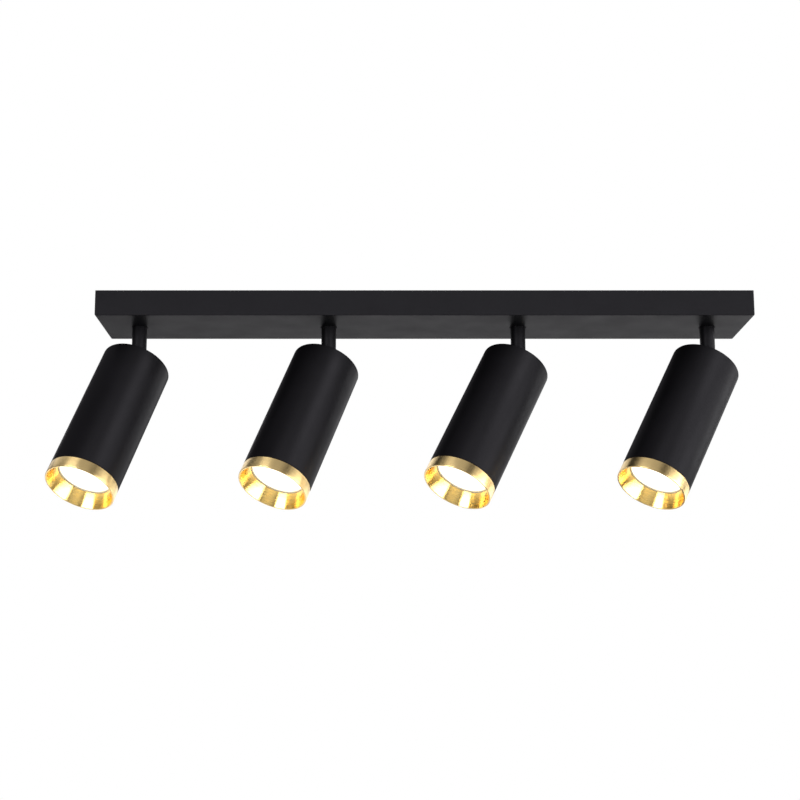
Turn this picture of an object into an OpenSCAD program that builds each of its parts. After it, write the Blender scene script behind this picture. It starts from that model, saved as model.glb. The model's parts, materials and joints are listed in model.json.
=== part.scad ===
// Ceiling spotlight bar: a folded steel canopy on a ceiling bracket, with four stems that
// turn in the canopy and four tilting cylinder heads, each round a twist-lock reflector lamp.
// The origin is the middle of the canopy's ceiling plane, +Z is up and the bar runs along X.

/* [Canopy] */
// Length of the canopy along the bar
bar_l = 566; // [540:1:600]
// Width of the canopy
bar_w = 84; // [78:1:100]
// Height of the canopy below the ceiling
bar_h = 22; // [22:0.5:26]
// Thickness of the canopy's sheet steel
sheet_t = 1.2; // [1:0.1:1.5]
// Outer radius of the canopy's folded lower edges
fold_r = 1.6; // [1:0.1:3]

/* [Ceiling bracket] */
// Width of the bracket's strap
strap_w = 56; // [50:1:60]
// Thickness of the bracket's steel
strap_t = 1.5; // [1.2:0.1:2]
// Distance between the two ceiling slots
slot_spacing = 334; // [320:1:350]
// Width of a ceiling slot
slot_w = 5.5; // [4:0.1:7]
// End-to-end length of a ceiling slot
slot_l = 20; // [12:1:30]

/* [Stems] */
// Distance between neighbouring stems
stem_pitch = 167; // [160:1:175]
// Outer diameter of a stem
stem_d = 13; // [11:0.5:14]
// Bore of a stem, which the lamp leads run through
stem_bore = 8; // [7:0.5:8]
// Distance from the canopy's underside down to the tilt pivot
pivot_drop = 30.2; // [30:0.1:40]

/* [Heads] */
// Outer diameter of a head
head_d = 60; // [56:1:64]
// Wall thickness of the casing tube
wall_t = 1.5; // [1.2:0.1:2]
// Length of the black casing tube
casing_l = 124.7; // [120:0.1:130]
// Distance from the tilt pivot to the casing's rear edge
pivot_rise = 6.5; // [6.5:0.1:8]
// Length of the gold band at the front
band_l = 10; // [8:0.5:14]
// Distance from the front edge back to the lamp's face
lamp_recess = 13; // [12:0.5:15]
// Radius of the lamp's frosted lens
lens_r = 23.4; // [22:0.1:24]

/* [Aim] */
// Turn of each stem from facing the front, towards the left
pan = [31, 38, 50, 55];
// Tilt of each head from straight down
tilt = [30, 30.5, 32, 32];

/* [Hidden] */
$fn = 96;
CUT = 1;
BLACK = "#1d1d20";
GOLD = "#c79a4b";
ZINC = "#b9bcc0";

stem_r = stem_d / 2;
stem_bore_r = stem_bore / 2;
head_r = head_d / 2;
casing_ir = head_r - wall_t;
under_z = -bar_h;
floor_z = under_z + sheet_t;
pivot_z = under_z - pivot_drop;

// Swivel: the bush fills the canopy's hole, and the stem turns in it
bush_r = stem_r + 1;
bush_flange_r = 13.8;
bush_flange_t = 1.5;
run_fit = 0.05;
body_gap = 0.3;
bush_top_z = floor_z + bush_flange_t;
stop_post_r = 1.5;
stop_ring_r = 12;
stop_post_h = 2.8;
nut_z = bush_top_z + body_gap;
nut_flange_t = 1.5;
nut_flange_r = 9;
nut_flats = 14;
nut_h = 5.5;
thread_r = 5;
stem_top_z = nut_z + 7;

// Tilt joint: a hollow cross barrel on the stem between two ears on the end cap
barrel_r = stem_r;
barrel_half = stem_r;
barrel_bore_r = 4.2;
barrel_bore_half = 4;
ear_in = barrel_half + body_gap;
ear_t = 3;
ear_r = 6;
pin_r = 2;
screw_shank_r = 2.5;
screw_head_r = 4;
screw_head_t = 2;

// Stations along a head, measured forward from the casing's rear edge
cap_s = 2;
cap_t = 3;
cap_hole_r = 4;
foot_s = cap_s + cap_t;
gauge = 1;
seat_s = 47;
holder_s = seat_s + gauge;
band_s = casing_l + body_gap;
rim_s = band_s + band_l;
lens_s = rim_s - lamp_recess;
lamp_s = 68;
strap_half = 20;
strap_depth = 16;
foot_l = 9;
cap_screw_x = 15.5;
holder_screw_x = 13;
pin_pitch = 10;
m3_r = 1.5;
m3_head_r = 2.75;
m3_head_t = 2;
m3_l = 6;

// Ceiling bracket and canopy fittings
flange_h = 17;
cover_screw_y = 20;
cover_screw_z = -10.5;
m4_r = 2;
cable_hole_r = 8;
cable_hole_x = 60;
collar_r = 3;
collar_h = 2.5;
earth_x = -46;
block_l = 36;
block_w = 18;
block_h = 9;
block_z = -strap_t - collar_h;
pole_pitch = 12;
pole_z = block_z - 4.5;
wire_r = 0.8;

// Place of stem i along the bar, for i from 1 to 4
function stem_x(i) = (i - 2.5) * stem_pitch;

// Lead routes inside the canopy, from the terminal block to a stem's bore:
// side is the lane's distance from the middle, high its height, off the lead's place in the bore
function lead_route(start_x, dx, dz, side, high, i, off) = [
    [start_x + dx, 5, pole_z + dz],
    [start_x + dx, 10, pole_z + dz],
    [start_x + dx + sign(stem_x(i)), side - 0.6, (pole_z + dz + high) / 2],
    [start_x + dx + 4 * sign(stem_x(i)), side, high],
    [(start_x + stem_x(i)) / 2, side, high],
    [stem_x(i) + off - 3.5 * sign(stem_x(i)), side, high],
    [stem_x(i) + off - 0.6 * sign(stem_x(i)), side - 1.2, high],
    [stem_x(i) + off, side - 4, (high - 6) / 2],
    [stem_x(i) + off, 2.6, -6.6],
    [stem_x(i) + off, 0.8, -8],
    [stem_x(i) + off, 0, -11],
    [stem_x(i) + off, 0, pivot_z + 4]
];

// Unit vector along v
function unit(v) = v / norm(v);

// Direction of travel at point k of a path
function heading(path, k) =
    unit(path[min(k + 1, len(path) - 1)] - path[max(k - 1, 0)]);

// Frames carried along a path without twist
function frames(path, k = 0, side = [1, 0, 0]) =
    let (
        dir = heading(path, k),
        flat = side - (side * dir) * dir,
        across = norm(flat) > 0.1 ? unit(flat) : unit(cross(dir, [0, 0, 1]))
    )
    k == len(path) - 1
        ? [[across, cross(dir, across)]]
        : concat([[across, cross(dir, across)]], frames(path, k + 1, across));

// Insulated lead: an eight-sided tube swept along a path
module lead(path, r = wire_r, side = [1, 0, 0]) {
    sides = 8;
    f = frames(path, 0, side);
    pts = [
        for (k = [0 : len(path) - 1])
            for (j = [0 : sides - 1])
                path[k] + r * (cos(360 * j / sides) * f[k][0] + sin(360 * j / sides) * f[k][1])
    ];
    skin = [
        for (k = [0 : len(path) - 2])
            for (j = [0 : sides - 1])
                [
                    k * sides + j, (k + 1) * sides + j,
                    (k + 1) * sides + (j + 1) % sides, k * sides + (j + 1) % sides
                ]
    ];
    start = [[for (j = [0 : sides - 1]) j]];
    end = [[for (j = [0 : sides - 1]) len(path) * sides - 1 - j]];
    polyhedron(pts, concat(start, skin, end), convexity = 6);
}

// Box section open at the top, w wide and h deep, with its two lower corners rounded
module tub_profile(w, h, r) {
    translate([-w / 2, -h + r]) square([w, h - r]);
    translate([-w / 2 + r, -h]) square([w - 2 * r, r + 0.01]);
    for (s = [-1, 1])
        translate([s * (w / 2 - r), -h + r]) circle(r);
}

// Prism of a profile in the plane of X and Z, run along Y for a length l
module along_y(l) {
    translate([0, l / 2, 0]) rotate([90, 0, 0]) linear_extrude(l) children();
}

// Prism of a profile in the plane of Y and Z, run along X for a length l
module along_x(l) {
    translate([-l / 2, 0, 0]) rotate([90, 0, 90]) linear_extrude(l) children();
}

// Slot with round ends along X, through a plate
module slot(l, w, h) {
    linear_extrude(h) {
        square([l - w, w], center = true);
        for (s = [-1, 1])
            translate([s * (l - w) / 2, 0]) circle(w / 2);
    }
}

// Pan-head screw along -Z from its seat at z = 0, with a cross recess in the head
module pan_screw(shank_r, head_r, head_t, l) {
    difference() {
        union() {
            translate([0, 0, -l]) cylinder(r = shank_r, h = l);
            rotate_extrude()
                polygon([
                    [0, 0], [head_r, 0], [head_r, head_t * 0.45],
                    [head_r * 0.85, head_t * 0.8], [head_r * 0.55, head_t], [0, head_t]
                ]);
        }
        for (a = [0, 90])
            rotate([0, 0, a])
                translate([-head_r * 0.5, -head_r * 0.11, head_t * 0.45])
                    cube([head_r, head_r * 0.22, head_t]);
    }
}

// Puts children in the turned frame of stem i: -Y is the way the head tips
module at_stem(i) {
    translate([stem_x(i), 0, 0]) rotate([0, 0, -pan[i - 1]]) children();
}

// Puts children in the frame of head i: the pivot is at the origin and the lamp faces -Z
module at_pivot(i) {
    at_stem(i) translate([0, 0, pivot_z]) rotate([-tilt[i - 1], 0, 0]) children();
}

// Puts children at station s of head i, with +Z forward, along the lamp's beam
module at_head(i, s = 0) {
    at_pivot(i) translate([0, 0, -pivot_rise - s]) rotate([180, 0, 0]) children();
}

// Folded steel canopy, open to the ceiling, with holes for the bushes and the cover screws
module canopy() {
    color(BLACK)
        difference() {
            intersection() {
                along_x(bar_l) tub_profile(bar_w, bar_h, fold_r);
                along_y(bar_w) tub_profile(bar_l, bar_h, fold_r);
            }
            translate([-bar_l / 2 + sheet_t, -bar_w / 2 + sheet_t, floor_z])
                cube([bar_l - 2 * sheet_t, bar_w - 2 * sheet_t, bar_h]);
            for (i = [1 : 4])
                translate([stem_x(i), 0, under_z - CUT]) cylinder(r = bush_r, h = sheet_t + 2 * CUT);
            for (y = [-cover_screw_y, cover_screw_y])
                translate([-bar_l / 2 - CUT, y, cover_screw_z])
                    rotate([0, 90, 0]) cylinder(r = m4_r + 0.2, h = bar_l + 2 * CUT);
        }
}

// Half of the bracket's bent outline: a strap under the ceiling and a flange turned down
module strap_profile() {
    half = bar_l / 2 - sheet_t;
    bend = 2.5;
    translate([0, -strap_t]) square([half - bend, strap_t]);
    translate([half - strap_t, -flange_h]) square([strap_t, flange_h - bend]);
    intersection() {
        difference() {
            translate([half - bend, -bend]) circle(bend);
            translate([half - bend, -bend]) circle(bend - strap_t);
        }
        translate([half - bend, -bend]) square([bend, bend]);
    }
}

// Steel strap that screws to the ceiling, with tapped end flanges for the cover screws
module ceiling_bracket() {
    half = bar_l / 2 - sheet_t;
    color(ZINC)
        difference() {
            union() {
                along_y(strap_w) {
                    strap_profile();
                    mirror([1, 0]) strap_profile();
                }
                for (x = [earth_x, -pole_pitch / 2, pole_pitch / 2])
                    translate([x, 0, block_z]) cylinder(r = collar_r, h = collar_h);
            }
            for (s = [-1, 1])
                translate([s * slot_spacing / 2, 0, -strap_t - CUT])
                    slot(slot_l, slot_w, strap_t + 2 * CUT);
            translate([cable_hole_x, 0, -strap_t - CUT])
                cylinder(r = cable_hole_r, h = strap_t + 2 * CUT);
            for (x = [earth_x, -pole_pitch / 2, pole_pitch / 2])
                translate([x, 0, block_z - CUT])
                    cylinder(r = m3_r, h = collar_h + strap_t + 2 * CUT);
            for (s = [-1, 1], y = [-cover_screw_y, cover_screw_y])
                translate([s * half - 5, y, cover_screw_z])
                    rotate([0, 90, 0]) cylinder(r = m4_r, h = 10);
        }
}

// Four black screws through the canopy's ends into the bracket's flanges
module cover_screws() {
    color(BLACK)
        for (s = [0, 180], y = [-cover_screw_y, cover_screw_y])
            rotate([0, 0, s])
                translate([bar_l / 2, y, cover_screw_z])
                    rotate([0, 90, 0]) pan_screw(m4_r, 3.6, 1.8, 7);
}

// Nylon bushes in the canopy's floor, each with a post that stops the stem's turn
module swivel_bushes() {
    color("#2a2a2c")
        for (i = [1 : 4])
            translate([stem_x(i), 0, 0]) {
                difference() {
                    union() {
                        translate([0, 0, under_z]) cylinder(r = bush_r, h = sheet_t);
                        translate([0, 0, floor_z]) cylinder(r = bush_flange_r, h = bush_flange_t);
                        translate([0, stop_ring_r, floor_z])
                            cylinder(r = stop_post_r, h = bush_flange_t + stop_post_h);
                    }
                    translate([0, 0, under_z - CUT])
                        cylinder(r = stem_r + run_fit, h = bar_h);
                }
            }
}

// Three-pole terminal block, with lead holes along Y and screw holes from below
module terminal_block() {
    color("#e8e6df")
        difference() {
            union() {
                translate([-block_l / 2, -block_w / 2, block_z - block_h + 3])
                    cube([block_l, block_w, block_h - 3]);
                for (x = [-pole_pitch, 0, pole_pitch], y = [-4.6, 4.6])
                    translate([x, y, block_z - block_h]) cylinder(r = 3.6, h = block_h);
            }
            for (x = [-pole_pitch, 0, pole_pitch]) {
                translate([x, -block_w / 2 - CUT, pole_z])
                    rotate([-90, 0, 0]) cylinder(r = 2.1, h = block_w + 2 * CUT);
                for (y = [-4.6, 4.6])
                    translate([x, y, block_z - block_h - CUT]) cylinder(r = 1.8, h = 3.4 + CUT);
            }
            for (x = [-pole_pitch / 2, pole_pitch / 2])
                translate([x, 0, block_z - block_h - CUT]) cylinder(r = 1.7, h = block_h + 2 * CUT);
        }
}

// Six slotted brass clamp screws in the terminal block
module terminal_screws() {
    color("#b08d57")
        for (x = [-pole_pitch, 0, pole_pitch], y = [-4.6, 4.6])
            translate([x, y, block_z - block_h + 0.4])
                difference() {
                    cylinder(r = 1.8, h = 2.2);
                    translate([-2, -0.3, -CUT]) cube([4, 0.6, 0.8 + CUT]);
                }
}

// Three machine screws up into the bracket's collars: one earths the bracket, two hold the block
module panel_screws() {
    block_seat = block_z - block_h + 3;
    color(ZINC) {
        translate([earth_x, 0, block_z - 0.8])
            rotate([180, 0, 0]) pan_screw(m3_r, m3_head_r, m3_head_t, 4);
        for (x = [-pole_pitch / 2, pole_pitch / 2])
            translate([x, 0, block_seat])
                rotate([180, 0, 0]) pan_screw(m3_r, m3_head_r, m3_head_t, 8.5);
    }
}

// Brown leads, one from the live pole to each stem
module live_leads() {
    color("#6b3a1e") {
        lead(lead_route(-pole_pitch, -0.9, 0.9, 13, -10.5, 1, -1.1));
        lead(lead_route(-pole_pitch, -0.9, -0.9, 13, -13, 2, -1.1));
        lead(lead_route(-pole_pitch, 0.9, -0.9, 12.4, -13.6, 3, -1.1));
        lead(lead_route(-pole_pitch, 0.9, 0.9, 14.6, -11.6, 4, -1.1));
    }
}

// Blue leads, one from the neutral pole to each stem
module neutral_leads() {
    color("#2f5fa8") {
        lead(lead_route(0, -0.9, 0.9, 16, -6, 1, 1.1));
        lead(lead_route(0, -0.9, -0.9, 16, -8.4, 2, 1.1));
        lead(lead_route(0, 0.9, -0.9, 17, -8.4, 3, 1.1));
        lead(lead_route(0, 0.9, 0.9, 17, -6, 4, 1.1));
    }
}

// Green and yellow lead with a ring terminal, from the earth pole to the bracket
module earth_lead() {
    color("#7fa832") {
        lead([
            [pole_pitch, -5, pole_z], [pole_pitch, -11, pole_z], [pole_pitch - 3, -15, pole_z],
            [0, -17, pole_z + 1], [-24, -17, pole_z + 2], [-37, -13, pole_z + 3],
            [-43, -7, block_z - 1.2], [earth_x + 0.6, -4.4, block_z - 0.8]
        ], 1.1);
        translate([earth_x, 0, block_z - 0.8])
            difference() {
                cylinder(r = 4, h = 0.8);
                translate([0, 0, -CUT]) cylinder(r = m3_r, h = 0.8 + 2 * CUT);
            }
    }
}

// Stem: a threaded tube with a hollow cross barrel at its lower end
module stem(i) {
    color(BLACK)
        at_stem(i)
            difference() {
                union() {
                    translate([0, 0, pivot_z]) cylinder(r = stem_r, h = nut_z - pivot_z);
                    translate([0, 0, nut_z]) cylinder(r = thread_r, h = stem_top_z - nut_z);
                    translate([-barrel_half, 0, pivot_z])
                        rotate([0, 90, 0]) cylinder(r = barrel_r, h = 2 * barrel_half);
                }
                translate([0, 0, pivot_z]) cylinder(r = stem_bore_r, h = bar_h + pivot_drop);
                translate([-barrel_bore_half, 0, pivot_z])
                    rotate([0, 90, 0]) cylinder(r = barrel_bore_r, h = 2 * barrel_bore_half);
                translate([-barrel_half - CUT, 0, pivot_z])
                    rotate([0, 90, 0]) cylinder(r = pin_r + run_fit, h = 2 * (barrel_half + CUT));
                translate([-3, -barrel_r - CUT, pivot_z - barrel_r - CUT])
                    cube([6, barrel_r + CUT + 2, barrel_r + CUT + 1]);
            }
}

// Flanged lock nut on the stem's thread, with the lug that meets the bush's post
module stem_nut(i) {
    color(ZINC)
        at_stem(i)
            translate([0, 0, nut_z])
                difference() {
                    union() {
                        cylinder(r = nut_flange_r, h = nut_flange_t);
                        translate([-1.5, -stop_ring_r - 1, 0]) cube([3, 6, nut_flange_t]);
                        cylinder(r = nut_flats / sqrt(3), h = nut_h, $fn = 6);
                    }
                    translate([0, 0, -CUT]) cylinder(r = thread_r, h = nut_h + 2 * CUT);
                }
}

// Two shoulder screws through the ears, whose tips are the tilt pivot in the barrel
module pivot_screws(i) {
    color(BLACK)
        at_pivot(i)
            for (s = [0, 180])
                rotate([0, 0, s])
                    rotate([0, 90, 0])
                        difference() {
                            union() {
                                translate([0, 0, barrel_bore_half])
                                    cylinder(r = pin_r, h = ear_in + CUT - barrel_bore_half);
                                translate([0, 0, ear_in]) cylinder(r = screw_shank_r, h = ear_t);
                                translate([0, 0, ear_in + ear_t])
                                    cylinder(r = screw_head_r, h = screw_head_t);
                            }
                            translate([0, 0, ear_in + ear_t + 0.8])
                                cylinder(r = 1.7, h = screw_head_t, $fn = 6);
                        }
}

// Die-cast end cap, recessed in the casing, with the two ears of the tilt joint
module end_cap(i) {
    reach = pivot_rise + cap_s;
    color(BLACK)
        at_pivot(i)
            difference() {
                union() {
                    translate([0, 0, -reach - cap_t]) cylinder(r = casing_ir, h = cap_t);
                    for (x = [-ear_in - ear_t, ear_in])
                        translate([x, 0, 0]) {
                            rotate([0, 90, 0]) cylinder(r = ear_r, h = ear_t);
                            translate([0, -ear_r, -reach - 0.5]) cube([ear_t, 2 * ear_r, reach + 0.5]);
                        }
                }
                translate([-ear_in - ear_t - CUT, 0, 0])
                    rotate([0, 90, 0])
                        cylinder(r = screw_shank_r, h = 2 * (ear_in + ear_t + CUT));
                translate([0, 0, -reach - cap_t - CUT]) cylinder(r = cap_hole_r, h = cap_t + 2 * CUT);
                for (x = [-cap_screw_x, cap_screw_x])
                    translate([x, 0, -reach - cap_t - CUT]) cylinder(r = m3_r, h = cap_t + 2 * CUT);
            }
}

// Black casing tube, with a small chamfer at its rear edge
module casing(i) {
    color(BLACK)
        at_head(i)
            rotate_extrude()
                polygon([
                    [casing_ir, 0], [head_r - 0.6, 0], [head_r, 0.6],
                    [head_r, casing_l], [casing_ir, casing_l]
                ]);
}

// Four identical screws: two hold the bracket to the cap, two the lampholder to the bracket
module m3_screws(i) {
    color(ZINC) {
        for (x = [-cap_screw_x, cap_screw_x])
            at_head(i, cap_s)
                translate([x, 0, 0])
                    rotate([180, 0, 0]) pan_screw(m3_r, m3_head_r, m3_head_t, m3_l);
        for (x = [-holder_screw_x, holder_screw_x])
            at_head(i, holder_s + 4)
                translate([x, 0, 0]) pan_screw(m3_r, m3_head_r, m3_head_t, m3_l);
    }
}

// Bent steel strap that stands the lampholder off the end cap
module holder_bracket(i) {
    color(ZINC)
        at_head(i)
            difference() {
                union() {
                    translate([-strap_half, -strap_depth / 2, seat_s])
                        cube([2 * strap_half, strap_depth, gauge]);
                    for (s = [0, 180])
                        rotate([0, 0, s]) {
                            translate([strap_half - gauge, -strap_depth / 2, foot_s])
                                cube([gauge, strap_depth, seat_s - foot_s + gauge]);
                            translate([strap_half - foot_l, -strap_depth / 2, foot_s])
                                cube([foot_l, strap_depth, gauge]);
                        }
                }
                for (x = [-cap_screw_x, cap_screw_x])
                    translate([x, 0, foot_s - CUT]) cylinder(r = m3_r, h = gauge + 2 * CUT);
                for (x = [-holder_screw_x, holder_screw_x])
                    translate([x, 0, seat_s - CUT]) cylinder(r = m3_r, h = gauge + 2 * CUT);
                translate([0, 0, seat_s - CUT]) cylinder(r = 6, h = gauge + 2 * CUT);
            }
}

// Ceramic twist-lock lampholder with two screw lugs and two pin sockets
module lampholder(i) {
    color("#eeebe2")
        at_head(i, holder_s)
            difference() {
                union() {
                    cylinder(r = 12, h = lamp_s - holder_s);
                    translate([-17, -6, 0]) cube([34, 12, 4]);
                }
                for (x = [-holder_screw_x, holder_screw_x])
                    translate([x, 0, -CUT]) cylinder(r = m3_r, h = 4 + 2 * CUT);
                for (x = [-holder_screw_x, holder_screw_x])
                    translate([x, 0, 4]) cylinder(r = m3_head_r + 0.4, h = 20);
                for (y = [-pin_pitch / 2, pin_pitch / 2])
                    translate([0, y, lamp_s - holder_s - 9]) cylinder(r = 3, h = 9 + CUT);
                for (x = [-3, 3])
                    translate([x, 0, -CUT]) cylinder(r = wire_r, h = 3 + CUT);
            }
}

// Reflector lamp: a twist-lock base with two headed pins and a body that widens to its face
module lamp_body(i) {
    len_l = lens_s - lamp_s;
    color("#e9e9e6")
        at_head(i, lamp_s) {
            rotate_extrude()
                polygon([
                    [0, 0], [10.5, 0], [10.5, 8], [12.5, 10], [13.5, 16], [23.5, len_l - 12],
                    [25, len_l - 9], [25, len_l - 0.4], [24.6, len_l], [lens_r, len_l],
                    [lens_r, len_l - 2.5], [0, len_l - 2.5]
                ]);
            for (y = [-pin_pitch / 2, pin_pitch / 2])
                translate([0, y, 0]) {
                    translate([0, 0, -6]) cylinder(r = 1.5, h = 6.5);
                    translate([0, 0, -7.5]) cylinder(r = 2.5, h = 2);
                }
        }
}

// Frosted lens set in the lamp's face
module lamp_lens(i) {
    color("#fffaf0")
        at_head(i, lens_s - 2.5)
            rotate_extrude()
                polygon([[0, 0], [lens_r, 0], [lens_r, 2.1], [lens_r - 0.4, 2.5], [0, 2.5]]);
}

// Gold front ring: a satin band, a spigot that slides in the casing and a polished reflector cone
module front_ring(i) {
    spigot_r = casing_ir - run_fit;
    spigot_l = 7;
    spigot_t = 1.2;
    lip_gap = 0.4;
    mouth_r = head_r - 1.6;
    throat_r = lens_r + 0.2;
    depth = lamp_recess - lip_gap;
    color(GOLD)
        at_head(i, rim_s)
            rotate_extrude()
                polygon([
                    [spigot_r, -band_l - spigot_l], [spigot_r, -band_l], [head_r, -band_l],
                    [head_r, -0.4], [head_r - 0.4, 0], [mouth_r + 0.3, 0], [mouth_r, -0.3],
                    [throat_r, -depth], [throat_r + 1.1, -depth],
                    [spigot_r - spigot_t, -depth + 5.4],
                    [spigot_r - spigot_t, -band_l - spigot_l]
                ]);
}

// Two heat-proof leads from the end cap's hole to the back of the lampholder
module head_leads(i) {
    color("#d9d2c0")
        for (s = [-1, 1])
            at_head(i)
                lead([
                    [s * 1.1, 0, cap_s + 1], [s * 1.1, 0, cap_s + 6], [s * 2.2, 1.5 * s, 15],
                    [s * 4.2, 3 * s, 24], [s * 4.4, 2 * s, 34], [s * 3, 0, seat_s - 4],
                    [s * 3, 0, holder_s + 3]
                ]);
}

canopy();
ceiling_bracket();
cover_screws();
swivel_bushes();
terminal_block();
terminal_screws();
panel_screws();
live_leads();
neutral_leads();
earth_lead();
for (i = [1 : 4]) {
    stem(i);
    stem_nut(i);
    pivot_screws(i);
    end_cap(i);
    casing(i);
    m3_screws(i);
    holder_bracket(i);
    lampholder(i);
    lamp_body(i);
    lamp_lens(i);
    front_ring(i);
    head_leads(i);
}
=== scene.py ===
"""Looks of the ceiling spotlight bar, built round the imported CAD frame.

Pieces that show smooth turned or folded metal are made again here with fine rounded edges:
the canopy, the casings, the front rings and the lenses. The other CAD nodes stay, with materials.
"""

import json
import math

import bmesh
import bpy
from mathutils import Matrix, Vector

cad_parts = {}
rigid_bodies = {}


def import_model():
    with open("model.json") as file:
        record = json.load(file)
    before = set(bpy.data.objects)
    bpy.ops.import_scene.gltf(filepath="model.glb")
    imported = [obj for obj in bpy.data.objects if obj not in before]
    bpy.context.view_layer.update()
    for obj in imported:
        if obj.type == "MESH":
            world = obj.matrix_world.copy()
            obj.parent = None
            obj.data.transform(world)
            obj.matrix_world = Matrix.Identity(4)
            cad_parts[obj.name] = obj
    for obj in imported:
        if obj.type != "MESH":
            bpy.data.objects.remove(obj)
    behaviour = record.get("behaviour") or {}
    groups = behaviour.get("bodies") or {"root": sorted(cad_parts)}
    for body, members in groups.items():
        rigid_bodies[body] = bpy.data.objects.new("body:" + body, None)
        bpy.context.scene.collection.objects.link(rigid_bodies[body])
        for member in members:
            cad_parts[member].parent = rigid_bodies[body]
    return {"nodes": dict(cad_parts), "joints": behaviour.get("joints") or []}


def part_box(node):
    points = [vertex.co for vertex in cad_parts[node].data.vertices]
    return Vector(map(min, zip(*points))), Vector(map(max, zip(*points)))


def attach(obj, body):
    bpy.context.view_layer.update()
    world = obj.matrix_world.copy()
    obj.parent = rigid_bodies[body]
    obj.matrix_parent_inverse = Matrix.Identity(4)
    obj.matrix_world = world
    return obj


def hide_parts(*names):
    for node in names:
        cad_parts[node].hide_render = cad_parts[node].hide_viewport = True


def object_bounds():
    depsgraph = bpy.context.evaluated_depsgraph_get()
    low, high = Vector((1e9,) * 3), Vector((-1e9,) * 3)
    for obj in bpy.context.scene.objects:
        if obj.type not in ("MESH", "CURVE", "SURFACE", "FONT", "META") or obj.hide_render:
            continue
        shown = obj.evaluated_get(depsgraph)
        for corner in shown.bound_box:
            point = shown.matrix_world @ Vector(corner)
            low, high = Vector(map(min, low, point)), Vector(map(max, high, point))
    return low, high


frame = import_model()
cad_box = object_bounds()
nodes = frame["nodes"]
joints = {j["name"]: j for j in frame["joints"]}

MM = 0.001
HEADS = (1, 2, 3, 4)
SEGMENTS = 160  # faces round a turned piece
SHEET = 1.2 * MM  # thickness of the canopy's steel
OBJECT_LIGHT_DISTANCE = 4.4  # metres, so that the four heads are lit alike
RING_LIGHT_DISTANCE = 1.32
FLOOR_DROP = 1.35  # metres from the object's lowest point down to the floor


# ---------------------------------------------------------------- node trees


def new_material(name):
    """A material with an empty node tree but for a Principled shader and its output."""
    material = bpy.data.materials.new(name)
    material.use_nodes = True
    tree = material.node_tree
    tree.nodes.clear()
    shader = tree.nodes.new("ShaderNodeBsdfPrincipled")
    output = tree.nodes.new("ShaderNodeOutputMaterial")
    tree.links.new(shader.outputs["BSDF"], output.inputs["Surface"])
    return material, tree, shader


def coordinates(tree, kind="Object", scale=(1, 1, 1)):
    """Texture coordinates, scaled by a mapping node."""
    source = tree.nodes.new("ShaderNodeTexCoord")
    mapping = tree.nodes.new("ShaderNodeMapping")
    mapping.inputs["Scale"].default_value = scale
    tree.links.new(source.outputs[kind], mapping.inputs["Vector"])
    return mapping.outputs["Vector"]


def noise(tree, vector, scale, detail=3.0, roughness=0.55):
    """A noise texture's grey output."""
    node = tree.nodes.new("ShaderNodeTexNoise")
    node.inputs["Scale"].default_value = scale
    node.inputs["Detail"].default_value = detail
    node.inputs["Roughness"].default_value = roughness
    tree.links.new(vector, node.inputs["Vector"])
    return node.outputs["Fac"]


def ranged(tree, value, low, high, start=0.0, end=1.0):
    """value, mapped from start..end to low..high."""
    node = tree.nodes.new("ShaderNodeMapRange")
    node.inputs["From Min"].default_value = start
    node.inputs["From Max"].default_value = end
    node.inputs["To Min"].default_value = low
    node.inputs["To Max"].default_value = high
    tree.links.new(value, node.inputs["Value"])
    return node.outputs["Result"]


def ramp(tree, value, stops):
    """A colour ramp over value, from (position, colour) stops."""
    node = tree.nodes.new("ShaderNodeValToRGB")
    elements = node.color_ramp.elements
    while len(elements) < len(stops):
        elements.new(0.5)
    for element, (position, colour) in zip(elements, stops):
        element.position = position
        element.color = (*colour, 1)
    tree.links.new(value, node.inputs["Fac"])
    return node.outputs["Color"]


def bump(tree, shader, height, strength, distance):
    """A bump from height on the shader's normal."""
    node = tree.nodes.new("ShaderNodeBump")
    node.inputs["Strength"].default_value = strength
    node.inputs["Distance"].default_value = distance
    tree.links.new(height, node.inputs["Height"])
    tree.links.new(node.outputs["Normal"], shader.inputs["Normal"])


# ----------------------------------------------------------------- materials


def mottled(tree, shader, colour_noise, colours, rough_noise, roughness):
    """Colour between two shades by one noise, and roughness between two values by another."""
    dark, light = colours
    colour = ramp(tree, colour_noise, [(0.3, dark), (0.7, light)])
    tree.links.new(colour, shader.inputs["Base Color"])
    tree.links.new(ranged(tree, rough_noise, *roughness, 0.3, 0.7), shader.inputs["Roughness"])


def powder_coat(name, dark, light, rough_low, rough_high):
    """Satin black powder coat: a fine pebbled film with faint cloudy variation."""
    material, tree, shader = new_material(name)
    vector = coordinates(tree)
    cloud = noise(tree, vector, 38, 4)
    pebble = noise(tree, vector, 1500, 2)
    mottled(tree, shader, cloud, (dark, light), cloud, (rough_low, rough_high))
    shader.inputs["IOR"].default_value = 1.5
    shader.inputs["Specular Tint"].default_value = (0.93, 0.9, 1, 1)
    bump(tree, shader, pebble, 0.28, 0.00012)
    return material


def bare_metal(name, dark, light, rough_low, rough_high):
    """Plain metal with a fine random grain."""
    material, tree, shader = new_material(name)
    vector = coordinates(tree)
    patch = noise(tree, vector, 90, 4)
    fine = noise(tree, vector, 400, 3)
    mottled(tree, shader, patch, (dark, light), fine, (rough_low, rough_high))
    shader.inputs["Metallic"].default_value = 1
    bump(tree, shader, fine, 0.15, 0.0001)
    return material


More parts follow.
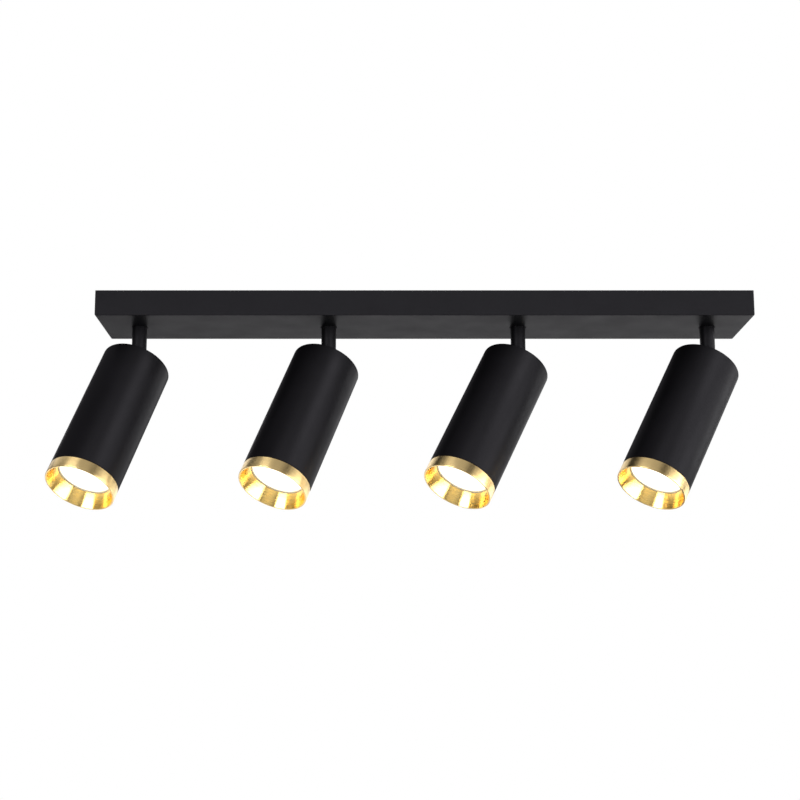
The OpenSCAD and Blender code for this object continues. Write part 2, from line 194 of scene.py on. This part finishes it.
def turned_gold(name, dark, light, rough_low, rough_high, spread, strength):
    """Gold turned on a lathe: fine lines along U of the UV map spread a highlight across them."""
    material, tree, shader = new_material(name)
    lines = noise(tree, coordinates(tree, "UV", (3, 2600, 1)), 1, 4, 0.7)
    broad = noise(tree, coordinates(tree, "UV", (2, 300, 1)), 1, 3)
    mottled(tree, shader, lines, (dark, light), broad, (rough_low, rough_high))
    shader.inputs["Metallic"].default_value = 1
    shader.inputs["Anisotropic"].default_value = spread
    shader.inputs["Anisotropic Rotation"].default_value = 0.25
    round_about = tree.nodes.new("ShaderNodeTangent")
    round_about.direction_type = "UV_MAP"
    round_about.uv_map = "turned"
    tree.links.new(round_about.outputs["Tangent"], shader.inputs["Tangent"])
    bump(tree, shader, lines, strength, 0.00008)
    return material


def lit_lens():
    """Frosted lens with the lamp lit behind it, and painted shade at its edge: a dim gold glow
    stands in for the shadowed gap under the ring's lip.
    """
    material, tree, shader = new_material("frosted_lens_lit")
    frost = noise(tree, coordinates(tree), 1200, 2)
    radius = tree.nodes.new("ShaderNodeSeparateXYZ")
    tree.links.new(coordinates(tree, "UV"), radius.inputs["Vector"])
    # The last two stops paint shade: the lens edge glows dim gold, standing in for the shadowed
    # gap under the ring's lip.
    stops = [
        (0.0, (1.0, 0.985, 0.96)),
        (0.95, (1.0, 0.97, 0.9)),
        (0.97, (0.33, 0.26, 0.11)),
        (1.0, (0.25, 0.2, 0.08)),
    ]
    lamp_glow_and_painted_edge_shade = ramp(tree, radius.outputs["Y"], stops)
    shader.inputs["Base Color"].default_value = (0.9, 0.89, 0.86, 1)
    tree.links.new(ranged(tree, frost, 0.4, 0.55, 0.3, 0.7), shader.inputs["Roughness"])
    tree.links.new(lamp_glow_and_painted_edge_shade, shader.inputs["Emission Color"])
    shader.inputs["Emission Strength"].default_value = 1.7
    bump(tree, shader, frost, 0.2, 0.0001)
    return material


def moulded(name, dark, light, rough_low, rough_high, strength=0.15):
    """Moulded plastic or fired ceramic: near-plain colour with a fine surface."""
    material, tree, shader = new_material(name)
    vector = coordinates(tree)
    patch = noise(tree, vector, 120, 3)
    fine = noise(tree, vector, 1800, 2)
    mottled(tree, shader, patch, (dark, light), patch, (rough_low, rough_high))
    bump(tree, shader, fine, strength, 0.0001)
    return material


def striped_insulation():
    """Green insulation with a yellow stripe that winds round the lead."""
    material, tree, shader = new_material("earth_green_yellow")
    wave = tree.nodes.new("ShaderNodeTexWave")
    wave.bands_direction = "DIAGONAL"
    wave.inputs["Scale"].default_value = 55
    tree.links.new(coordinates(tree), wave.inputs["Vector"])
    green, yellow = (0.03, 0.26, 0.05), (0.75, 0.62, 0.03)
    stripes = ramp(tree, wave.outputs["Fac"], [(0.55, green), (0.6, yellow)])
    tree.links.new(stripes, shader.inputs["Base Color"])
    shader.inputs["Roughness"].default_value = 0.4
    bump(tree, shader, noise(tree, coordinates(tree), 900), 0.1, 0.0001)
    return material


def braided_sleeve():
    """Woven glass-fibre sleeve of the heat-proof leads."""
    material, tree, shader = new_material("glass_braid")
    weave = tree.nodes.new("ShaderNodeTexVoronoi")
    weave.inputs["Scale"].default_value = 2200
    tree.links.new(coordinates(tree), weave.inputs["Vector"])
    strand, gap = (0.8, 0.76, 0.66), (0.5, 0.46, 0.38)
    shades = ramp(tree, weave.outputs["Distance"], [(0.1, strand), (0.7, gap)])
    tree.links.new(shades, shader.inputs["Base Color"])
    shader.inputs["Roughness"].default_value = 0.8
    bump(tree, shader, weave.outputs["Distance"], 0.5, 0.0002)
    return material


def pale_floor():
    """Seamless pale studio floor."""
    material, tree, shader = new_material("studio_floor")
    speckle = noise(tree, coordinates(tree), 3)
    pale = ramp(tree, speckle, [(0.3, (0.86, 0.86, 0.86)), (0.7, (0.88, 0.88, 0.88))])
    tree.links.new(pale, shader.inputs["Base Color"])
    shader.inputs["Roughness"].default_value = 0.9
    return material


# Most looks are a name, a dark and a light shade, and the least and greatest roughness.
COAT = powder_coat(
    "black_powder_coat", (0.0075, 0.0075, 0.0085), (0.0105, 0.0105, 0.012), 0.4, 0.46
)
COAT_HEAD = powder_coat(
    "black_head_coat", (0.006, 0.0057, 0.0066), (0.0085, 0.008, 0.0095), 0.42, 0.48
)
SCREW_BLACK = bare_metal("blackened_screw", (0.02, 0.02, 0.022), (0.035, 0.035, 0.038), 0.3, 0.45)
ZINC = bare_metal("zinc_plated_steel", (0.5, 0.52, 0.55), (0.66, 0.67, 0.68), 0.25, 0.42)
BRASS = bare_metal("terminal_brass", (0.6, 0.42, 0.17), (0.72, 0.53, 0.25), 0.22, 0.36)
GOLD_BAND = turned_gold(
    "gold_brushed_band",
    (0.5, 0.36, 0.15),
    (0.72, 0.54, 0.26),
    0.28,
    0.35,
    spread=0.75,
    strength=0.3,
)
GOLD_CONE = turned_gold(
    "gold_bright_cone",
    (0.88, 0.63, 0.21),
    (0.92, 0.67, 0.24),
    0.26,
    0.28,
    spread=1,
    strength=0.01,
)
LENS = lit_lens()
BLACK_NYLON = moulded("black_nylon", (0.012, 0.012, 0.013), (0.02, 0.02, 0.021), 0.45, 0.55)
WHITE_NYLON = moulded("white_nylon", (0.76, 0.75, 0.7), (0.84, 0.83, 0.79), 0.4, 0.5)
CERAMIC = moulded("fired_ceramic", (0.8, 0.79, 0.74), (0.88, 0.87, 0.84), 0.5, 0.65, strength=0.3)
LAMP_WHITE = moulded("lamp_plastic", (0.8, 0.8, 0.79), (0.86, 0.86, 0.85), 0.3, 0.4)
BROWN = moulded("brown_insulation", (0.11, 0.045, 0.018), (0.16, 0.065, 0.028), 0.35, 0.45)
BLUE = moulded("blue_insulation", (0.02, 0.08, 0.33), (0.035, 0.12, 0.45), 0.35, 0.45)
EARTH = striped_insulation()
BRAID = braided_sleeve()

NODE_LOOKS = {
    "canopy": COAT,
    "ceiling_bracket": ZINC,
    "cover_screws": SCREW_BLACK,
    "swivel_bushes": BLACK_NYLON,
    "terminal_block": WHITE_NYLON,
    "terminal_screws": BRASS,
    "panel_screws": ZINC,
    "live_leads": BROWN,
    "neutral_leads": BLUE,
    "earth_lead": EARTH,
    "stem": COAT,
    "stem_nut": ZINC,
    "pivot_screws": SCREW_BLACK,
    "end_cap": COAT_HEAD,
    "casing": COAT_HEAD,
    "m3_screws": ZINC,
    "holder_bracket": ZINC,
    "lampholder": CERAMIC,
    "lamp_body": LAMP_WHITE,
    "lamp_lens": LENS,
    "front_ring": GOLD_BAND,
    "head_leads": BRAID,
}


def dress_cad_nodes():
    """Gives every CAD node its material by name, with a head's number left off."""
    for name, node in nodes.items():
        look = NODE_LOOKS[name.rstrip("_1234")]
        node.data.materials.clear()
        node.data.materials.append(look)


# -------------------------------------------------------------------- frames


def head_matrix(i):
    """Frame of head i at rest: the pivot, with X the tilt axis and Z the way the lamp faces."""
    tilt, pull = joints[f"tilt_{i}"], joints[f"ring_{i}_pull"]
    x, z = Vector(tilt["axis"]).normalized(), Vector(pull["axis"]).normalized()
    y = z.cross(x).normalized()
    turn = Matrix((x, y, z)).transposed().to_4x4()
    return Matrix.Translation(tilt["pos_m"]) @ turn


def measured(name, matrix):
    """(station, radius) of each point of a CAD node in a frame, sorted by station."""
    inverse = matrix.inverted()
    points = [inverse @ v.co for v in nodes[name].data.vertices]
    return sorted((p.z, math.hypot(p.x, p.y)) for p in points)


# ------------------------------------------------------------ turned pieces


def fillet(corners, steps=5):
    """An outline of (radius, station, rounding) corners, each one rounded by a curve."""
    outline = []
    count = len(corners)
    for k, (r, z, rounding) in enumerate(corners):
        here = Vector((r, z))
        if rounding == 0:
            outline.append(here)
            continue
        before = Vector(corners[k - 1][:2]) - here
        after = Vector(corners[(k + 1) % count][:2]) - here
        half = before.angle(after) / 2
        # A rounding takes less than half of each side, so that two never meet.
        reach = min(rounding / math.tan(half), 0.49 * before.length, 0.49 * after.length)
        start, end = here + before.normalized() * reach, here + after.normalized() * reach
        for step in range(steps + 1):
            t = step / steps
            outline.append(start.lerp(here, t).lerp(here.lerp(end, t), t))
    return outline


def lathe(name, outline, matrix, materials, pick=None, closed=True):
    """A turned piece: an outline of (radius, station) points revolved round Z of a frame.

    pick(a, b) gives the index of the material for the faces between two points of the outline.
    U of its UV map goes round the piece, and V is the distance along the outline in metres.
    """
    mesh = bmesh.new()
    uv = mesh.loops.layers.uv.new("turned")
    lengths = [0.0]
    for a, b in zip(outline, outline[1:] + outline[:1]):
        lengths.append(lengths[-1] + (b - a).length)
    rings = [
        [
            mesh.verts.new(matrix @ Vector((p.x * math.cos(t), p.x * math.sin(t), p.y)))
            for t in (2 * math.pi * s / SEGMENTS for s in range(SEGMENTS))
        ]
        if p.x > 1e-6
        else [mesh.verts.new(matrix @ Vector((0, 0, p.y)))]
        for p in outline
    ]
    last = len(outline) if closed else len(outline) - 1
    for k in range(last):
        low, high = rings[k], rings[(k + 1) % len(outline)]
        for s in range(SEGMENTS):
            corners = [(low, s, 0), (low, s + 1, 0), (high, s + 1, 1), (high, s, 1)]
            # A point on the axis is one vertex, so the faces that meet there are triangles.
            if len(low) == 1:
                corners.pop(1)
            elif len(high) == 1:
                corners.pop(2)
            face = mesh.faces.new([ring[n % len(ring)] for ring, n, _ in corners])
            face.smooth = True
            face.material_index = pick(outline[k], outline[(k + 1) % len(outline)]) if pick else 0
            for loop, (_, n, end) in zip(face.loops, corners):
                loop[uv].uv = (n / SEGMENTS, lengths[k + end])
    bmesh.ops.recalc_face_normals(mesh, faces=mesh.faces)
    return finished(name, mesh, materials)


def finished(name, mesh, materials, sharp=35):
    """A linked object from a bmesh, smooth but for edges sharper than an angle."""
    data = bpy.data.meshes.new(name)
    mesh.to_mesh(data)
    mesh.free()
    for material in materials:
        data.materials.append(material)
    data.set_sharp_from_angle(angle=math.radians(sharp))
    piece = bpy.data.objects.new(name, data)
    bpy.context.scene.collection.objects.link(piece)
    return piece


def casing_shell(i):
    """Casing tube with softly rounded rear and front edges."""
    matrix = head_matrix(i)
    points = measured(f"casing_{i}", matrix)
    rear, front = points[0][0], points[-1][0]
    outer, inner = max(r for _, r in points), min(r for _, r in points)
    outline = fillet(
        [
            (inner, rear, 0.3 * MM),
            (outer, rear, 0.8 * MM),
            (outer, front, 0.25 * MM),
            (inner, front, 0.2 * MM),
        ]
    )
    piece = lathe(f"casing_shell_{i}", outline, matrix, [COAT_HEAD])
    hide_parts(f"casing_{i}")
    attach(piece, f"head_{i}")


def reflector_ring(i):
    """Front ring: a brushed band outside, a rounded lip, and a polished cone down to the lens."""
    matrix = head_matrix(i)
    points = measured(f"front_ring_{i}", matrix)
    back, front = points[0][0], points[-1][0]
    outer, throat = max(r for _, r in points), min(r for _, r in points)
    near = 0.05 * MM
    shoulder = min(z for z, r in points if r > outer - near)
    throat_z = min(z for z, r in points if r < throat + near)
    spigot = max(r for z, r in points if z < shoulder - 0.5 * MM)
    mouth = max(r for z, r in points if r < outer - 1.0 * MM and z > front - 1.0 * MM)
    web = 1.1 * MM
    web_slope = 5.4 * MM
    outline = fillet(
        [
            (spigot - web, back, 0.2 * MM),
            (spigot, back, 0.3 * MM),
            (spigot, shoulder, 0),
            (outer, shoulder, 0.3 * MM),
            (outer, front, 0.45 * MM),
            (mouth, front, 0.4 * MM),
            (throat, throat_z, 0.15 * MM),
            (throat + web, throat_z, 0.1 * MM),
            (spigot - web, throat_z + web_slope, 0.5 * MM),
        ]
    )

    def polished(a, b):
        """1, the cone's gold, inside the mouth in front of the throat, and 0 elsewhere."""
        inside = max(a.x, b.x) < mouth + 0.2 * MM and min(a.y, b.y) > throat_z - 0.1 * MM
        return 1 if inside and a.x < outer - 1.3 * MM else 0

    piece = lathe(f"reflector_ring_{i}", outline, matrix, [GOLD_BAND, GOLD_CONE], polished)
    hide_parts(f"front_ring_{i}")
    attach(piece, f"ring_{i}")


def lens_disc(i):
    """Frosted lens, slightly domed, whose V runs from 0 at the middle to 1 at the edge."""
    matrix = head_matrix(i)
    points = measured(f"lamp_lens_{i}", matrix)
    back, front = points[0][0], points[-1][0]
    radius = max(r for _, r in points)
    dome = 0.9 * MM
    steps = 14
    parts = [k / steps for k in range(steps + 1)]
    outline = [Vector((radius * part, front - dome * part**2)) for part in parts]
    outline += [Vector((radius, back)), Vector((0, back))]
    piece = lathe(f"lens_disc_{i}", outline, matrix, [LENS], closed=False)
    for loop in piece.data.uv_layers.active.data:
        loop.uv.y = min(loop.uv.y / radius, 1)
    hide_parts(f"lamp_lens_{i}")
    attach(piece, f"head_{i}")


# -------------------------------------------------------------------- canopy


def rounded_tray(name, low, high, thickness, fold, corner):
    """Open-topped sheet tray between two corners, with folded lower edges and rounded corners."""
    mesh = bmesh.new()
    bmesh.ops.create_cube(mesh, size=1)
    size, middle = high - low, (high + low) / 2
    for vertex in mesh.verts:
        vertex.co = Vector(c * s + m for c, s, m in zip(vertex.co, size, middle))
    upright = [e for e in mesh.edges if abs(e.verts[0].co.z - e.verts[1].co.z) > size.z / 2]
    bmesh.ops.bevel(mesh, geom=upright, offset=corner, segments=5, profile=0.5, affect="EDGES")
    lower = [e for e in mesh.edges if max(v.co.z for v in e.verts) < low.z + 0.1 * MM]
    bmesh.ops.bevel(mesh, geom=lower, offset=fold, segments=6, profile=0.5, affect="EDGES")
    lid = [f for f in mesh.faces if f.calc_center_median().z > high.z - 0.1 * MM]
    bmesh.ops.delete(mesh, geom=lid, context="FACES")
    for face in mesh.faces:
        face.smooth = True
    piece = finished(name, mesh, [COAT], 50)
    wall = piece.modifiers.new("sheet", "SOLIDIFY")
    wall.thickness = thickness
    wall.offset = -1
    return piece


def canopy_shell():
    """Canopy with holes for the bushes and the end screws."""
    low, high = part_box("canopy")
    piece = rounded_tray("canopy_shell", low, high, SHEET, fold=1.1 * MM, corner=1.3 * MM)
    for i in HEADS:
        x, y, _ = joints[f"pan_{i}"]["pos_m"]
        bush_r = min(math.hypot(v.co.x - x, v.co.y - y) for v in nodes["canopy"].data.vertices)
        drill(piece, Vector((x, y, low.z)), Vector((0, 0, 1)), bush_r + 0.02 * MM, depth=6 * MM)
    screws_low, screws_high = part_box("cover_screws")
    screw_head_r, screw_hole_r = 3.6 * MM, 2.2 * MM
    y, z = screws_high.y - screw_head_r, (screws_low.z + screws_high.z) / 2
    for side in (low.x, high.x):
        for place in (-y, y):
            drill(piece, Vector((side, place, z)), Vector((1, 0, 0)), screw_hole_r, depth=8 * MM)
    bake(piece)
    edges = piece.modifiers.new("edges", "WEIGHTED_NORMAL")
    edges.keep_sharp = True
    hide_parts("canopy")
    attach(piece, "bar")


def drill(piece, centre, along, radius, depth):
    """Cuts a round hole through a piece."""
    cutter = bmesh.new()
    bmesh.ops.create_cone(
        cutter, cap_ends=True, segments=64, radius1=radius, radius2=radius, depth=depth
    )
    data = bpy.data.meshes.new("cutter")
    cutter.to_mesh(data)
    cutter.free()
    tool = bpy.data.objects.new("cutter", data)
    bpy.context.scene.collection.objects.link(tool)
    turn = along.to_track_quat("Z", "Y").to_matrix().to_4x4()
    tool.matrix_world = Matrix.Translation(centre) @ turn
    cut = piece.modifiers.new("hole", "BOOLEAN")
    cut.operation = "DIFFERENCE"
    cut.solver = "EXACT"
    cut.object = tool
    bake(piece)
    bpy.data.objects.remove(tool)


def bake(piece):
    """Applies a piece's modifiers to its mesh."""
    graph = bpy.context.evaluated_depsgraph_get()
    graph.update()
    data = bpy.data.meshes.new_from_object(piece.evaluated_get(graph))
    piece.modifiers.clear()
    piece.data = data


# --------------------------------------------------------------------- stage


def camera():
    """Camera a little left of the bar's middle and below it, looking up at its front.

    Its numbers come from a fit of the photo's outline.
    """
    upward = 10.04
    data = bpy.data.cameras.new("camera")
    data.sensor_width = 36
    data.lens = 68.4
    data.shift_x = 0.0251
    data.shift_y = 0.0607
    eye = bpy.data.objects.new("camera", data)
    eye.location = (-0.0383, -1.3039, -0.3615)
    eye.rotation_euler = (math.radians(90 + upward), 0, 0)
    bpy.context.scene.collection.objects.link(eye)
    bpy.context.scene.camera = eye


def softbox(name, azimuth, elevation, size, radiance, lit=None, distance=2.2):
    """Soft rectangular light aimed at the heads, by the direction it comes from in degrees.

    Azimuth 0 is the front and 90 the right. lit is the collection of the only pieces it lights.
    """
    turn, rise = math.radians(azimuth), math.radians(elevation)
    flat = math.cos(rise)
    away = Vector((math.sin(turn) * flat, -math.cos(turn) * flat, math.sin(rise)))
    data = bpy.data.lights.new(name, "AREA")
    data.shape = "RECTANGLE"
    data.size, data.size_y = size
    data.energy = math.pi * size[0] * size[1] * radiance
    light = bpy.data.objects.new(name, data)
    light.location = Vector((0, 0, -0.1)) + away * distance
    light.rotation_euler = (-away).to_track_quat("-Z", "Y").to_euler()
    light.visible_camera = False
    light.light_linking.receiver_collection = lit
    bpy.context.scene.collection.objects.link(light)


def lit_group(name, prefixes, others=False):
    """A collection of the pieces whose names start with one of the prefixes, or of the others."""
    group = bpy.data.collections.new(name)
    for piece in bpy.context.scene.objects:
        if piece.name.startswith(prefixes) != others:
            group.objects.link(piece)
    return group


def object_lights():
    """Dim soft lights all round, stronger from the right, that leave black metal nearly black."""
    rows = (
        ("left_back", -150, 5, 1.3),
        ("left_front", -35, 5, 1.3),
        ("front", 0, 5, 0.55),
        ("right_front", 35, 5, 1.4),
        ("right", 70, 5, 1.6),
        ("right_side", 110, 5, 1.2),
        ("right_back", 150, 5, 0.7),
        ("high_front", 0, 40, 0.75),
        ("high_right", 60, 40, 1.6),
    )
    all_but_rings = lit_group("all_but_rings", ("reflector_ring", "floor"), others=True)
    for name, azimuth, elevation, radiance in rows:
        softbox(
            name, azimuth, elevation, (2, 2), radiance, all_but_rings, OBJECT_LIGHT_DISTANCE
        )


def reflector_lights():
    """Two bright boxes and dimmer panels that only the gold rings mirror."""
    rings = lit_group("gold_rings", ("reflector_ring",))
    rows = (
        ("ring_front", 2, 12, (0.84, 1.55), 0.7),
        ("ring_left_box", -40, 14, (0.7, 0.76), 13),
        ("ring_left_panel", -80, 25, (0.72, 1.55), 0.25),
        ("ring_left_side", -116, 40, (0.72, 0.78), 1.0),
        ("ring_left_back", -140, 28, (0.84, 0.72), 1.2),
        ("ring_right_box", 55, -16, (1.4, 0.88), 12),
        ("ring_right_panel", 97, -20, (0.3, 0.84), 0.4),
        ("ring_right_side", 112, 12, (0.54, 0.48), 4),
        ("ring_right_back", 126, -24, (0.96, 0.9), 4),
        ("ring_back", 165, -22, (0.66, 0.9), 2.4),
        ("ring_behind", -172, 12, (1.08, 0.84), 1.1),
        ("ring_above", 20, 57, (0.96, 0.78), 0.5),
        ("ring_above_left", -57, 62, (0.54, 0.42), 0.8),
        ("ring_below", -133, -50, (0.96, 0.96), 1.8),
    )
    for name, azimuth, elevation, size, radiance in rows:
        softbox(name, azimuth, elevation, size, radiance, rings, RING_LIGHT_DISTANCE)


def floor():
    """Pale round floor below the photo's view, with a wash of light of its own."""
    low, _ = cad_box
    mesh = bmesh.new()
    bmesh.ops.create_circle(mesh, cap_ends=True, segments=128, radius=8)
    ground = finished("floor", mesh, [pale_floor()])
    ground.location = (0, 0, low.z - FLOOR_DROP)
    ground.visible_diffuse = False
    ground.visible_glossy = False
    softbox("floor_wash", 0, 90, (20, 20), 1.05, lit_group("ground", ("floor",)))


def studio():
    """Surroundings that look white but light little, the floor, and all the lights."""
    world = bpy.data.worlds.new("studio")
    world.use_nodes = True
    tree = world.node_tree
    tree.nodes.clear()
    output = tree.nodes.new("ShaderNodeOutputWorld")
    seen = tree.nodes.new("ShaderNodeBackground")
    around = tree.nodes.new("ShaderNodeBackground")
    seen.inputs["Color"].default_value = (1, 1, 1, 1)
    around.inputs["Color"].default_value = (0.095, 0.092, 0.1, 1)
    path = tree.nodes.new("ShaderNodeLightPath")
    choose = tree.nodes.new("ShaderNodeMixShader")
    tree.links.new(path.outputs["Is Camera Ray"], choose.inputs["Fac"])
    tree.links.new(around.outputs["Background"], choose.inputs[1])
    tree.links.new(seen.outputs["Background"], choose.inputs[2])
    tree.links.new(choose.outputs["Shader"], output.inputs["Surface"])
    bpy.context.scene.world = world
    bpy.context.scene.view_settings.view_transform = "Standard"
    floor()
    object_lights()
    reflector_lights()
    bar_sheet = lit_group("bar_sheet", ("canopy",))
    softbox("canopy_sheen", 163, -12, (3.0, 1), 0.41, bar_sheet)
    softbox("canopy_fold", 0, -55, (3.5, 3), 0.55, bar_sheet)
    softbox("above", 0, 90, (20, 20), 0.5, lit_group("top_side", ("ceiling_bracket",)))


# --------------------------------------------------------------------- build

camera()
dress_cad_nodes()
canopy_shell()
for head in HEADS:
    casing_shell(head)
    reflector_ring(head)
    lens_disc(head)
studio()
